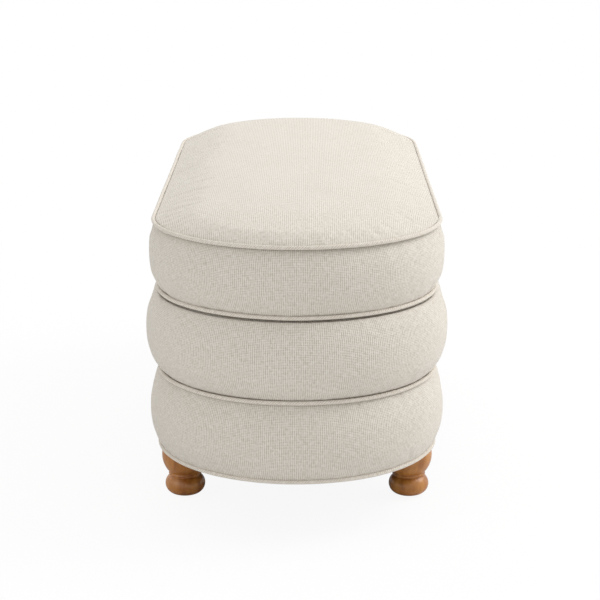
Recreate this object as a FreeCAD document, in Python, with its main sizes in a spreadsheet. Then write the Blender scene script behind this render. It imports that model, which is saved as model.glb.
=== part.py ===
import FreeCAD, Part
import os
import re
import Sketcher

# Upholstered storage bench in millimetres. X runs along the bench, the front faces -Y, the hinged back
# faces +Y, Z is up, and the origin lies on the floor under the middle of the bench. In plan every layer is
# two straight sides joined by half circles, so most pieces are one section carried round that plan.

doc = FreeCAD.newDocument("storage_bench")
sheet = doc.addObject("Spreadsheet::Sheet", "Sizes")

SIZES = {
    # plan
    "straight_length": 665.0,
    "frame_radius": 198.0,
    # frame, from the floor up
    "foot_height": 90.0,
    "dust_cover_thickness": 1.0,
    "base_thickness": 15.0,
    "wall_height": 205.5,
    "rim_thickness": 15.0,
    "wrap_thickness": 3.0,
    "wall_thickness": 12.0,
    "post_thickness": 11.0,
    "post_width": 30.0,
    "lining_thickness": 1.5,
    "floor_thickness": 3.0,
    # lid
    "lid_gap": 3.0,
    "lid_board_thickness": 15.0,
    "lid_board_inset": 4.0,
    "lid_side_height": 104.2,
    "crown_height": 37.0,
    "crown_plateau": 30.0,
    "crown_flat": 100.0,
    "crown_drop": 4.5,
    # fabric, piping and the reach of each seam and bulge beyond the frame
    "cover_thickness": 1.5,
    "cover_hem": 18.0,
    "soft_gap": 0.3,
    "lower_roll_height": 120.0,
    "base_seam_reach": 7.0,
    "lower_bulge_reach": 23.0,
    "seam_reach": 4.5,
    "middle_bulge_reach": 27.0,
    "lid_low_reach": 1.6,
    "lid_bulge_reach": 21.8,
    "lid_high_reach": 10.0,
    "lid_hem": 4.0,
    "welt_radius": 4.0,
    "welt_tail": 1.0,
    "base_welt_reach": 13.8,
    "middle_welt_reach": 9.8,
    "lid_low_welt_reach": 10.2,
    "lid_high_welt_reach": 14.5,
    # feet
    "foot_inset": 2.5,
    "foot_setback": 26.4,
    "glide_radius": 7.5,
    "glide_height": 3.0,
    "ball_radius": 30.5,
    "ball_height": 29.5,
    "groove_radius": 22.5,
    "bead_radius": 25.2,
    "bead_height": 4.6,
    "neck_radius": 23.6,
    "bowl_radius": 34.8,
    "bowl_height": 32.0,
    "bolt_radius": 4.0,
    "bolt_grip": 42.0,
    "tee_nut_radius": 11.0,
    "tee_barrel_radius": 5.5,
    "tee_flange": 1.5,
    "slip": 0.1,
    # bumpers
    "bumper_radius": 6.0,
    "bumper_inset": 9.0,
    "bumper_spread": 220.0,
    "bumper_slack": 0.2,
    # hinge
    "hinge_reach": 14.2,
    "leaf_thickness": 1.0,
    "leaf_width": 32.0,
    "knuckle_radius": 2.6,
    "knuckle_pitch": 26.0,
    "knuckle_pairs": 10.0,
    "knuckle_clearance": 0.4,
    "pin_radius": 1.5,
    "running_clearance": 0.05,
    "leaf_screw_inset": 24.0,
    "leaf_screw_pitch": 65.0,
    "leaf_screw_count": 8.0,
    "screw_radius": 2.0,
    "screw_head_radius": 3.0,
    "screw_length": 15.0,
    # folding stays
    "stay_inset": 16.0,
    "stay_arm": 90.0,
    "stay_low_angle": 25.0,
    "stay_high_angle": 8.0,
    "stay_plate": 2.5,
    "stay_layer": 3.0,
    "stay_width": 8.0,
    "stay_flange": 22.0,
    "rivet_radius": 3.0,
    "rivet_head_radius": 5.0,
    "rivet_head": 1.5,
    "rivet_slack": 0.2,
    "open_pivot_clearance": 0.15,
    "bracket_screw_spread": 11.0,
    "pan_head_radius": 3.8,
    "pan_head": 2.0,
}

# Levels, radii and pivots that follow from the sizes above
DERIVED = {
    "half_straight": "straight_length / 2",
    "base_bottom": "foot_height + dust_cover_thickness",
    "base_top": "base_bottom + base_thickness",
    "rim_bottom": "base_top + wall_height",
    "rim_top": "rim_bottom + rim_thickness",
    "box_top": "rim_top + cover_thickness",
    "lid_bottom": "box_top + lid_gap",
    "board_bottom": "lid_bottom + cover_thickness",
    "board_top": "board_bottom + lid_board_thickness",
    "middle_seam": "base_bottom + lower_roll_height",
    "top_seam": "lid_bottom + lid_side_height",
    "lid_top": "top_seam + crown_height",
    "wall_outer": "frame_radius - wrap_thickness",
    "wall_inner": "wall_outer - wall_thickness",
    "lining_outer": "wall_inner - post_thickness",
    "lining_inner": "lining_outer - lining_thickness",
    "hem_radius": "frame_radius - cover_hem",
    "lid_board_radius": "frame_radius - lid_board_inset",
    "lid_hem_radius": "frame_radius + lid_high_reach - lid_hem",
    "soft_wall": "frame_radius + soft_gap",
    "crown_edge": "frame_radius + lid_high_reach - 0.5",
    "crown_foot": "top_seam + welt_tail / 2",
    "crown_slope": "2 * crown_drop / (crown_flat - crown_plateau)",
    "shoulder_width": "crown_edge - crown_flat",
    "shoulder_drop": "lid_top - crown_drop - crown_foot",
    "shoulder_middle": "crown_slope * shoulder_width / 4 + shoulder_drop / 4",
    "foot_x": "half_straight - foot_inset",
    "foot_spread": "frame_radius - foot_setback",
    "foot_top": "foot_height",
    "ball_top": "glide_height + ball_height",
    "bead_top": "ball_top + bead_height",
    "bowl_top": "bead_top + bowl_height",
    "hinge_y": "frame_radius + hinge_reach",
    "hinge_z": "box_top + lid_gap / 2",
    "hinge_length": "2 * knuckle_pairs * knuckle_pitch",
    "stay_x": "half_straight - stay_inset",
    "low_cos": "cos(stay_low_angle * 1 deg)",
    "low_sin": "sin(stay_low_angle * 1 deg)",
    "high_cos": "cos(stay_high_angle * 1 deg)",
    "high_sin": "sin(stay_high_angle * 1 deg)",
    "pivot_box_y": "hinge_y - stay_arm * low_cos",
    "pivot_box_z": "hinge_z - stay_arm * low_sin",
    "pivot_lid_y": "hinge_y - stay_arm * high_cos",
    "pivot_lid_z": "hinge_z - stay_arm * high_sin",
    "knee_y": "pivot_box_y - stay_arm * high_cos",
    "knee_z": "pivot_box_z - stay_arm * high_sin",
}

for row, (name, size) in enumerate(SIZES.items(), 1):
    sheet.set(f"A{row}", name)
    sheet.set(f"B{row}", str(size))
    sheet.setAlias(f"B{row}", name)
doc.recompute()

nodes = []


def formula(text):
    """The expression for a text in which sizes and derived values are written by name."""
    def spell(word):
        name = word.group(0)
        if name in DERIVED:
            return "(" + formula(DERIVED[name]) + ")"
        return "Sizes." + name if name in SIZES else name
    return re.sub(r"[a-z_]+", spell, text)


def value(text):
    return float(sheet.evalExpression(formula(text)))


def bind(item, key, text):
    item.setExpression(key, formula(text))


def keep(item, label):
    """Give a finished piece its name and put it on the list of files to write."""
    item.Label = label
    nodes.append(item)
    return item


def new_body(name):
    return doc.addObject("PartDesign::Body", name)


def origin(body, role):
    return next(item for item in body.Origin.OriginFeatures if item.Role == role)


def new_sketch(body, plane, x="0", y="0", offset="0"):
    """A sketch on one of the body's origin planes, shifted within it by x, y and along its normal by offset."""
    sketch = body.newObject("Sketcher::SketchObject", "Sketch")
    sketch.AttachmentSupport = [(origin(body, plane), "")]
    sketch.MapMode = "FlatFace"
    for key, text in (("x", x), ("y", y), ("z", offset)):
        bind(sketch, "AttachmentOffset.Base." + key, text)
    doc.recompute()
    return sketch


def locate(sketch, geometry, point, x, y):
    """Tie one point of a sketch to its two coordinates."""
    for kind, text, axis in (("DistanceX", x, -2), ("DistanceY", y, -1)):
        if text == "0":
            sketch.addConstraint(Sketcher.Constraint("PointOnObject", geometry, point, axis))
        else:
            number = sketch.addConstraint(Sketcher.Constraint(kind, -1, 1, geometry, point, value(text)))
            bind(sketch, f"Constraints[{number}]", text)


def outline(sketch, points):
    """A closed outline through the points in turn; a point marked "arc" is passed on an arc between its neighbours."""
    corners = [point for point in points if len(point) == 2]
    middles = {}
    for index, point in enumerate(points):
        if len(point) == 3:
            middles[points[index - 1]] = point
    edges = []
    for start, end in zip(corners, corners[1:] + corners[:1]):
        first = FreeCAD.Vector(value(start[0]), value(start[1]))
        last = FreeCAD.Vector(value(end[0]), value(end[1]))
        if start in middles:
            through = FreeCAD.Vector(value(middles[start][0]), value(middles[start][1]))
            arc = Part.Arc(first, through, last)
            clockwise = arc.toShape().Curve.Axis.z < 0
            edges.append((sketch.addGeometry(arc), clockwise, middles[start]))
        else:
            edges.append((sketch.addGeometry(Part.LineSegment(first, last)), False, None))
    for index, (geometry, clockwise, middle) in enumerate(edges):
        following, following_clockwise, unused = edges[(index + 1) % len(edges)]
        end_point = 1 if clockwise else 2
        start_point = 2 if following_clockwise else 1
        sketch.addConstraint(Sketcher.Constraint("Coincident", geometry, end_point, following, start_point))
        locate(sketch, geometry, 2 if clockwise else 1, *corners[index])
        if middle:
            through = FreeCAD.Vector(value(middle[0]), value(middle[1]))
            mark = sketch.addGeometry(Part.Point(through), True)
            sketch.addConstraint(Sketcher.Constraint("PointOnObject", mark, 1, geometry))
            locate(sketch, mark, 1, middle[0], middle[1])
    doc.recompute()
    return sketch


def circle(sketch, x, y, radius):
    centre = FreeCAD.Vector(value(x), value(y))
    geometry = sketch.addGeometry(Part.Circle(centre, FreeCAD.Vector(0, 0, 1), value(radius)))
    locate(sketch, geometry, 3, x, y)
    number = sketch.addConstraint(Sketcher.Constraint("Radius", geometry, value(radius)))
    bind(sketch, f"Constraints[{number}]", radius)
    doc.recompute()
    return sketch


def grow(body, kind, sketch, **settings):
    """Add one feature made from a sketch; settings given as text become expressions."""
    feature = body.newObject("PartDesign::" + kind, kind)
    feature.Profile = sketch
    if kind in ("Revolution", "Groove"):
        feature.ReferenceAxis = (sketch, ["V_Axis"])
    for key, setting in settings.items():
        if isinstance(setting, str):
            bind(feature, key, setting)
        else:
            setattr(feature, key, setting)
    doc.recompute()
    return feature


def repeat(body, features, spacing, count):
    """Repeat features in a row along X."""
    row = body.newObject("PartDesign::LinearPattern", "Row")
    row.Originals = features
    row.Direction = (origin(body, "X_Axis"), [""])
    row.Mode = "Spacing"
    bind(row, "Offset", spacing)
    bind(row, "Occurrences", count)
    body.Tip = row
    doc.recompute()
    return row


def mirror(body, features, plane):
    mirrored = body.newObject("PartDesign::Mirrored", "Mirrored")
    mirrored.Originals = features
    mirrored.MirrorPlane = (origin(body, plane), [""])
    body.Tip = mirrored
    doc.recompute()
    return mirrored


def carried_round(label, section):
    """A section of radius and height, run along both sides and turned about the centres of both ends."""
    body = new_body(label)
    sketch = outline(new_sketch(body, "YZ_Plane", offset="half_straight"), section)
    side = grow(body, "Pad", sketch, Length="straight_length", Reversed=True)
    end = grow(body, "Revolution", sketch, Angle=180.0, Reversed=True)
    mirror(body, [end], "YZ_Plane")
    mirror(body, [side], "XZ_Plane")
    return keep(body, label)


def ring(label, inner, outer, bottom, top):
    return carried_round(label, [(inner, bottom), (outer, bottom), (outer, top), (inner, top)])


def panel(label, radius, bottom, thickness):
    """A flat panel in the plan of the bench."""
    body = new_body(label)
    sketch = new_sketch(body, "XY_Plane", offset=bottom)
    outline(sketch, [
        ("-half_straight", f"-({radius})"), ("half_straight", f"-({radius})"),
        (f"half_straight + {radius}", "0", "arc"),
        ("half_straight", radius), ("-half_straight", radius),
        (f"-half_straight - ({radius})", "0", "arc"),
    ])
    grow(body, "Pad", sketch, Length=thickness)
    return keep(body, label)


def four_holes(body, radius, level, depth):
    """Bores for the foot bolts, cut downwards from a level."""
    sketch = new_sketch(body, "XY_Plane", offset=level)
    for x in ("foot_x", "-foot_x"):
        for y in ("foot_spread", "-foot_spread"):
            circle(sketch, x, y, radius)
    grow(body, "Pocket", sketch, Length=depth)


def mirrored_copy(item, normal, label):
    copy = doc.addObject("Part::Mirroring", label)
    copy.Source = item
    copy.Base = FreeCAD.Vector(0, 0, 0)
    copy.Normal = FreeCAD.Vector(*normal)
    doc.recompute()
    return copy


def group(label, items):
    compound = doc.addObject("Part::Compound", label)
    compound.Links = items
    doc.recompute()
    return keep(compound, label)


def pair(label, item):
    """Two like pieces, one on each side of the middle."""
    return group(label, [item, mirrored_copy(item, (1, 0, 0), label + "_left")])


def at_four_feet(label, item):
    other = mirrored_copy(item, (1, 0, 0), label + "_left")
    back = [mirrored_copy(half, (0, 1, 0), label + "_front") for half in (item, other)]
    return group(label, [item, other] + back)


def turned(name, x, y, half_section):
    """A piece turned about a vertical axis at x, y."""
    body = new_body(name)
    sketch = new_sketch(body, "XZ_Plane", x=x, offset=f"-({y})")
    grow(body, "Revolution", outline(sketch, half_section), Angle=360.0)
    return body


# Feet
# Turned hardwood: a ball on a small nylon glide, a groove and a bead, then a bowl that flares to the base.
# The bore in its top takes a hanger bolt, and the one below takes the glide's tack.

foot_section = [
    ("bolt_radius / 3 + slip", "glide_height"), ("glide_radius + 3", "glide_height"),
    ("ball_radius", "glide_height + ball_height / 2", "arc"),
    ("groove_radius", "ball_top"),
    ("groove_radius + 0.6", "ball_top + 0.8"),
    ("bead_radius", "ball_top + 0.8 + bead_height / 2", "arc"),
    ("neck_radius", "bead_top"),
    ("neck_radius + 0.72 * (bowl_radius - neck_radius)", "bead_top + 0.38 * bowl_height", "arc"),
    ("bowl_radius", "bowl_top"),
    ("bowl_radius", "foot_top - 3"), ("bowl_radius - 2", "foot_top"),
    ("bolt_radius + slip", "foot_top"), ("bolt_radius + slip", "foot_top - bolt_grip"),
    ("0", "foot_top - bolt_grip"), ("0", "glide_height + 13"),
    ("bolt_radius / 3 + slip", "glide_height + 13"),
]
for side, along in (("left", "-"), ("right", "")):
    for end, across in (("front", "-"), ("back", "")):
        foot = turned(f"foot_{end}_{side}", f"{along}foot_x", f"{across}foot_spread", foot_section)
        keep(foot, f"foot_{end}_{side}")

glide = turned("glide", "foot_x", "foot_spread", [
    ("0", "0"), ("glide_radius - 1", "0"), ("glide_radius", "1"), ("glide_radius", "glide_height"),
    ("bolt_radius / 3", "glide_height"), ("bolt_radius / 3", "glide_height + 11"), ("0", "glide_height + 12.5"),
])
at_four_feet("glides", glide)

bolt = turned("bolt", "foot_x", "foot_spread", [
    ("0", "foot_top - bolt_grip + 1"), ("bolt_radius - 1.5", "foot_top - bolt_grip + 1"),
    ("bolt_radius", "foot_top - bolt_grip + 4"), ("bolt_radius", "base_top - 1"), ("0", "base_top - 1"),
])
at_four_feet("hanger_bolts", bolt)

tee_nut = turned("tee_nut", "foot_x", "foot_spread", [
    ("bolt_radius + slip", "base_bottom + 3"), ("tee_barrel_radius", "base_bottom + 3"),
    ("tee_barrel_radius", "base_top - tee_flange"), ("tee_nut_radius", "base_top - tee_flange"),
    ("tee_nut_radius", "base_top"), ("bolt_radius + slip", "base_top"),
])
at_four_feet("tee_nuts", tee_nut)


# Frame
# Plywood base, straight boards and bent end walls under a rim ring. Posts tie the boards to the bent walls
# inside, and a hardboard wrap closes the outside, so the foam has one smooth face to lie on.

dust_cover = panel("dust_cover", "frame_radius + base_seam_reach", "foot_height", "dust_cover_thickness")
four_holes(dust_cover, "tee_barrel_radius + slip", "base_bottom", "dust_cover_thickness")

base_panel = panel("base_panel", "frame_radius", "base_bottom", "base_thickness")
four_holes(base_panel, "tee_barrel_radius + slip", "base_top", "base_thickness")
four_holes(base_panel, "tee_nut_radius + slip", "base_top", "tee_flange")

for label, near, far in (("front_board", "-wall_outer", "-wall_inner"), ("back_board", "wall_inner", "wall_outer")):
    board = new_body(label)
    sketch = new_sketch(board, "XY_Plane", offset="base_top")
    outline(sketch, [
        ("-half_straight", near), ("half_straight", near), ("half_straight", far), ("-half_straight", far),
    ])
    grow(board, "Pad", sketch, Length="wall_height")
    keep(board, label)

for label, sign in (("end_wall_left", "-"), ("end_wall_right", "")):
    wall = new_body(label)
    sketch = new_sketch(wall, "XY_Plane", x=f"{sign}half_straight", offset="base_top")
    outline(sketch, [
        ("0", "wall_inner"), ("0", "wall_outer"), (f"{sign}wall_outer", "0", "arc"),
        ("0", "-wall_outer"), ("0", "-wall_inner"), (f"{sign}wall_inner", "0", "arc"),
    ])
    grow(wall, "Pad", sketch, Length="wall_height")
    keep(wall, label)

post = new_body("post")
sketch = new_sketch(post, "XY_Plane", x="half_straight", offset="base_top")
turn_end = "post_width / wall_inner * 1 rad"
turn_half = "post_width / wall_inner / 2 * 1 rad"
post_inner = "lining_outer + slip"
post_outer = "wall_inner - slip"
outline(sketch, [
    ("-post_width", post_inner), ("0", post_inner),
    (f"({post_inner}) * sin({turn_half})", f"({post_inner}) * cos({turn_half})", "arc"),
    (f"({post_inner}) * sin({turn_end})", f"({post_inner}) * cos({turn_end})"),
    (f"({post_outer}) * sin({turn_end})", f"({post_outer}) * cos({turn_end})"),
    (f"({post_outer}) * sin({turn_half})", f"({post_outer}) * cos({turn_half})", "arc"),
    ("0", post_outer), ("-post_width", post_outer),
])
grow(post, "Pad", sketch, Length="wall_height")
at_four_feet("corner_posts", post)

ring("rim", "lining_outer", "wall_outer", "rim_bottom", "rim_top")
ring("outer_wrap", "wall_outer + slip", "frame_radius", "base_top", "rim_top")

# Storage space: a card lining hemmed over the rim, and a loose floor panel inside it
carried_round("storage_lining", [
    ("lining_inner", "base_top"), ("lining_outer - slip", "base_top"), ("lining_outer - slip", "rim_top"),
    ("hem_radius - slip", "rim_top"), ("hem_radius - slip", "box_top"), ("lining_inner", "box_top"),
])
panel("floor_panel", "lining_inner - slip", "base_top", "floor_thickness")


# Rolls of the box
# Two foam rings glued to the wrap, each under its own fabric cover. The covers turn in to the frame at every
# seam, and the middle one also folds over the rim.

def roll(name, low_hem, low, low_reach, bulge_reach, high_reach, high, high_hem):
    """A fabric cover of even thickness and the foam ring inside it."""
    low_radius = f"frame_radius + {low_reach}"
    high_radius = f"frame_radius + {high_reach}"
    bulge = f"frame_radius + {bulge_reach}"
    middle = f"(({low}) + ({high})) / 2"
    turn_in = "cover_thickness / 2"
    carried_round(f"{name}_cover", [
        (low_hem, low), (low_radius, low), (bulge, middle, "arc"), (high_radius, high), (high_hem, high),
        (high_hem, f"{high} - cover_thickness"),
        (f"{high_radius} - {turn_in}", f"{high} - cover_thickness"),
        (f"{bulge} - cover_thickness", middle, "arc"),
        (f"{low_radius} - {turn_in}", f"{low} + cover_thickness"),
        (low_hem, f"{low} + cover_thickness"),
    ])
    carried_round(f"{name}_foam", [
        ("soft_wall", f"{low} + cover_thickness"),
        (f"{low_radius} - {turn_in} - soft_gap", f"{low} + cover_thickness"),
        (f"{bulge} - cover_thickness - soft_gap", middle, "arc"),
        (f"{high_radius} - {turn_in} - soft_gap", f"{high} - cover_thickness"),
        ("soft_wall", f"{high} - cover_thickness"),
    ])


roll("lower_roll", "soft_wall", "base_bottom + welt_tail", "base_seam_reach", "lower_bulge_reach",
     "seam_reach", "middle_seam - welt_tail / 2", "soft_wall")
roll("middle_roll", "soft_wall", "middle_seam + welt_tail / 2", "seam_reach", "middle_bulge_reach",
     "seam_reach", "box_top", "hem_radius")


# Piping
# Cord covered in the same fabric. Its flat tail is sewn into the seam, level with the cord or under it.

def seam_welt(label, tail_end, reach, level):
    centre = f"frame_radius + {reach}"
    carried_round(label, [
        (tail_end, f"{level} - welt_tail / 2"), (f"{centre} - welt_radius", f"{level} - welt_tail / 2"),
        (centre, f"{level} - welt_radius", "arc"), (f"{centre} + welt_radius", level),
        (centre, f"{level} + welt_radius", "arc"),
        (f"{centre} - welt_radius", f"{level} + welt_tail / 2"), (tail_end, f"{level} + welt_tail / 2"),
    ])


def edge_welt(label, tail_end, reach, bottom):
    centre = f"frame_radius + {reach}"
    bite = "sqrt(welt_radius * welt_radius - (welt_radius - welt_tail) * (welt_radius - welt_tail))"
    carried_round(label, [
        (tail_end, bottom), (centre, bottom),
        (f"{centre} + welt_radius * cos(45 deg)", f"{bottom} + welt_radius * (1 - sin(45 deg))", "arc"),
        (f"{centre} + welt_radius", f"{bottom} + welt_radius"),
        (f"{centre} + welt_radius * cos(45 deg)", f"{bottom} + welt_radius * (1 + sin(45 deg))", "arc"),
        (centre, f"{bottom} + 2 * welt_radius"),
        (f"{centre} - welt_radius", f"{bottom} + welt_radius", "arc"),
        (f"{centre} - {bite}", f"{bottom} + welt_tail"), (tail_end, f"{bottom} + welt_tail"),
    ])


edge_welt("base_welt", "soft_wall", "base_welt_reach", "base_bottom")
seam_welt("middle_welt", "soft_wall", "middle_welt_reach", "middle_seam")
edge_welt("lid_bottom_welt", "frame_radius + lid_low_reach + 1.6", "lid_low_welt_reach", "lid_bottom + soft_gap")
seam_welt("lid_top_welt", "lid_hem_radius", "lid_high_welt_reach", "top_seam")


# Lid
# A plywood board with a foam slab that also wraps its edge, a boxing band folded under the board, a crowned
# top panel, and a lining that closes the underside inside the fold.

panel("lid_board", "lid_board_radius", "board_bottom", "lid_board_thickness")
panel("lid_lining", "hem_radius - slip", "lid_bottom", "cover_thickness")

boxing_low = "frame_radius + lid_low_reach"
boxing_high = "frame_radius + lid_high_reach"
boxing_bulge = "frame_radius + lid_bulge_reach"
boxing_top = "top_seam - welt_tail / 2"
boxing_middle = "(lid_bottom + top_seam - welt_tail / 2) / 2"
carried_round("lid_boxing_cover", [
    ("hem_radius", "lid_bottom"), (boxing_low, "lid_bottom"), (boxing_bulge, boxing_middle, "arc"),
    (boxing_high, boxing_top), ("lid_hem_radius", boxing_top),
    ("lid_hem_radius", f"{boxing_top} - cover_thickness"),
    (f"{boxing_high} - cover_thickness / 2", f"{boxing_top} - cover_thickness"),
    (f"{boxing_bulge} - cover_thickness", boxing_middle, "arc"),
    (f"{boxing_low} - cover_thickness / 2", "board_bottom"), ("hem_radius", "board_bottom"),
])


def crown(depth, edge):
    """The crown's upper line, from its edge to the middle, at a depth below the outside of the top panel."""
    return [
        (f"({edge} + crown_flat) / 2", f"lid_top - crown_drop - shoulder_middle - {depth}", "arc"),
        ("crown_flat", f"lid_top - crown_drop - {depth}"),
        ("(crown_flat + crown_plateau) / 2", f"lid_top - crown_drop / 4 - {depth}", "arc"),
        ("crown_plateau", f"lid_top - {depth}"),
        ("0", f"lid_top - {depth}"),
    ]


top_inner_edge = "crown_edge - 2.2 * cover_thickness"
inner_crown = crown("cover_thickness", "crown_edge")
carried_round("lid_top_cover", [
    (top_inner_edge, "crown_foot"), ("crown_edge", "crown_foot"), *crown("0", "crown_edge"),
    *reversed(inner_crown),
])

carried_round("lid_foam", [
    ("0", "board_top"), ("lid_board_radius + soft_gap", "board_top"),
    ("lid_board_radius + soft_gap", "board_bottom"),
    (f"{boxing_low} - cover_thickness / 2 - soft_gap", "board_bottom"),
    (f"{boxing_bulge} - cover_thickness - soft_gap", boxing_middle, "arc"),
    (f"{boxing_high} - cover_thickness / 2 - soft_gap", f"{boxing_top} - cover_thickness - soft_gap"),
    ("lid_hem_radius - soft_gap", f"{boxing_top} - cover_thickness - soft_gap"),
    ("lid_hem_radius - soft_gap", "crown_foot - soft_gap"),
    *crown("cover_thickness - soft_gap", "lid_hem_radius"),
])


# Bumpers
# Small rubber pads on the rim that hold the lid just clear of the box.

front_bumper = turned("front_bumper", "bumper_spread", "-(frame_radius - bumper_inset)", [
    ("0", "box_top"), ("bumper_radius", "box_top"), ("bumper_radius", "lid_bottom - bumper_slack - 0.8"),
    ("bumper_radius - 0.8", "lid_bottom - bumper_slack"), ("0", "lid_bottom - bumper_slack"),
])
end_bumper = turned("end_bumper", "half_straight + frame_radius - bumper_inset", "0", [
    ("0", "box_top"), ("bumper_radius", "box_top"), ("bumper_radius", "lid_bottom - bumper_slack - 0.8"),
    ("bumper_radius - 0.8", "lid_bottom - bumper_slack"), ("0", "lid_bottom - bumper_slack"),
])
bumper_copies = [mirrored_copy(item, (1, 0, 0), "bumper_left") for item in (front_bumper, end_bumper)]
group("lid_bumpers", [front_bumper, end_bumper] + bumper_copies)


# Hinge
# A continuous hinge in the valley between lid and box, its pin outside the piping so that the lid's bulge
# swings clear of the middle roll. The knuckles of the two leaves take turns along the pin.

def hinge_leaf(label, bottom, first_knuckle, low, high, sink):
    """A leaf with its knuckles; low and high are the faces of the plate measured from the pin."""
    leaf = new_body(label)
    sketch = new_sketch(leaf, "XY_Plane", offset=bottom)
    outline(sketch, [
        ("-hinge_length / 2", "hinge_y - leaf_width"), ("hinge_length / 2", "hinge_y - leaf_width"),
        ("hinge_length / 2", "hinge_y - knuckle_radius - knuckle_clearance"),
        ("-hinge_length / 2", "hinge_y - knuckle_radius - knuckle_clearance"),
    ])
    grow(leaf, "Pad", sketch, Length="leaf_thickness")

    tab = "-knuckle_radius - knuckle_clearance - 0.6"
    reach_low = f"-sqrt(knuckle_radius * knuckle_radius - ({low}) * ({low}))"
    reach_high = f"-sqrt(knuckle_radius * knuckle_radius - ({high}) * ({high}))"
    sketch = new_sketch(leaf, "YZ_Plane", x="hinge_y", y="hinge_z",
                        offset=f"-hinge_length / 2 + {first_knuckle} + knuckle_clearance / 2")
    outline(sketch, [
        (tab, low), (reach_low, low), ("knuckle_radius", "0", "arc"), (reach_high, high), (tab, high),
    ])
    circle(sketch, "0", "0", "pin_radius + running_clearance")
    knuckle = grow(leaf, "Pad", sketch, Length="knuckle_pitch - knuckle_clearance")
    repeat(leaf, [knuckle], "2 * knuckle_pitch", "knuckle_pairs")

    wide, narrow = ("1", "0") if sink == "above" else ("0", "1")
    hole_x = "-leaf_screw_pitch * (leaf_screw_count - 1) / 2"
    sketch = new_sketch(leaf, "XZ_Plane", x=hole_x, y=bottom, offset="leaf_screw_inset - hinge_y")
    outline(sketch, [
        ("0", "0"), (f"screw_radius + slip + {narrow} * (screw_head_radius - screw_radius)", "0"),
        (f"screw_radius + slip + {wide} * (screw_head_radius - screw_radius)", "leaf_thickness"),
        ("0", "leaf_thickness"),
    ])
    hole = grow(leaf, "Groove", sketch, Angle=360.0)
    repeat(leaf, [hole], "leaf_screw_pitch", "leaf_screw_count")
    return keep(leaf, label)


def leaf_screws(label, head, direction):
    """Countersunk screws in a row, from the face of the leaf at head into the wood."""
    screws = turned(label, "-leaf_screw_pitch * (leaf_screw_count - 1) / 2", "hinge_y - leaf_screw_inset", [
        ("0", head), ("screw_head_radius", head), ("screw_radius", f"{head} {direction} leaf_thickness"),
        ("screw_radius", f"{head} {direction} (screw_length - 3)"), ("0", f"{head} {direction} screw_length"),
    ])
    repeat(screws, [screws.Tip], "leaf_screw_pitch", "leaf_screw_count")
    return keep(screws, label)


hinge_leaf("hinge_box_leaf", "box_top", "0", "-lid_gap / 2", "leaf_thickness - lid_gap / 2", "above")
hinge_leaf("hinge_lid_leaf", "lid_bottom - leaf_thickness", "knuckle_pitch",
           "lid_gap / 2 - leaf_thickness", "lid_gap / 2", "below")
leaf_screws("hinge_box_screws", "box_top + leaf_thickness", "-")
leaf_screws("hinge_lid_screws", "lid_bottom - leaf_thickness", "+")

pin = new_body("hinge_pin")
sketch = new_sketch(pin, "YZ_Plane", x="hinge_y", y="hinge_z", offset="-hinge_length / 2 - 1")
circle(sketch, "0", "0", "pin_radius")
grow(pin, "Pad", sketch, Length="hinge_length + 2")
keep(pin, "hinge_pin")


# Folding stays
# One at each end of the back. Both arms are as long as the distance from the hinge pin to either bracket
# pivot, so the lower arm stays parallel to the lid and the upper arm only shifts as the lid opens.

def mirrored_pair(body, label):
    keep(body, label + "_right")
    return keep(mirrored_copy(body, (1, 0, 0), label + "_left"), label + "_left")


box_bracket = new_body("stay_box_bracket")
sketch = new_sketch(box_bracket, "YZ_Plane", offset="stay_x")
outline(sketch, [
    ("lining_inner", "pivot_box_z - 2 * stay_width"), ("pivot_box_y", "pivot_box_z - stay_width"),
    ("pivot_box_y - stay_width", "pivot_box_z", "arc"), ("pivot_box_y", "pivot_box_z + stay_width"),
    ("lining_inner", "pivot_box_z + 2 * stay_width"),
])
circle(sketch, "pivot_box_y", "pivot_box_z", "rivet_radius + 0.02")
grow(box_bracket, "Pad", sketch, Length="stay_plate")
sketch = new_sketch(box_bracket, "XZ_Plane", offset="-lining_inner")
outline(sketch, [
    ("stay_x - stay_flange", "pivot_box_z - 2 * stay_width"), ("stay_x + stay_plate", "pivot_box_z - 2 * stay_width"),
    ("stay_x + stay_plate", "pivot_box_z + 2 * stay_width"), ("stay_x - stay_flange", "pivot_box_z + 2 * stay_width"),
])
for level in ("pivot_box_z - bracket_screw_spread", "pivot_box_z + bracket_screw_spread"):
    circle(sketch, "stay_x - stay_flange / 2", level, "screw_radius + slip")
grow(box_bracket, "Pad", sketch, Length="stay_plate")
mirrored_pair(box_bracket, "stay_box_bracket")

lid_bracket = new_body("stay_lid_bracket")
lid_plate_x = "stay_x - 3 * stay_layer"
sketch = new_sketch(lid_bracket, "YZ_Plane", offset=lid_plate_x)
outline(sketch, [
    ("pivot_lid_y + 2 * stay_width", "lid_bottom"), ("pivot_lid_y - 2 * stay_width", "lid_bottom"),
    ("pivot_lid_y - 2 * stay_width", "lid_bottom - stay_plate"), ("pivot_lid_y - stay_width", "pivot_lid_z"),
    ("pivot_lid_y", "pivot_lid_z - stay_width", "arc"), ("pivot_lid_y + stay_width", "pivot_lid_z"),
    ("pivot_lid_y + 2 * stay_width", "lid_bottom - stay_plate"),
])
circle(sketch, "pivot_lid_y", "pivot_lid_z", "rivet_radius + 0.02")
grow(lid_bracket, "Pad", sketch, Length="stay_plate")
sketch = new_sketch(lid_bracket, "XY_Plane", offset="lid_bottom - stay_plate")
outline(sketch, [
    (f"{lid_plate_x} - stay_flange", "pivot_lid_y - 2 * stay_width"),
    (f"{lid_plate_x} + stay_plate", "pivot_lid_y - 2 * stay_width"),
    (f"{lid_plate_x} + stay_plate", "pivot_lid_y + 2 * stay_width"),
    (f"{lid_plate_x} - stay_flange", "pivot_lid_y + 2 * stay_width"),
])
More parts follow.
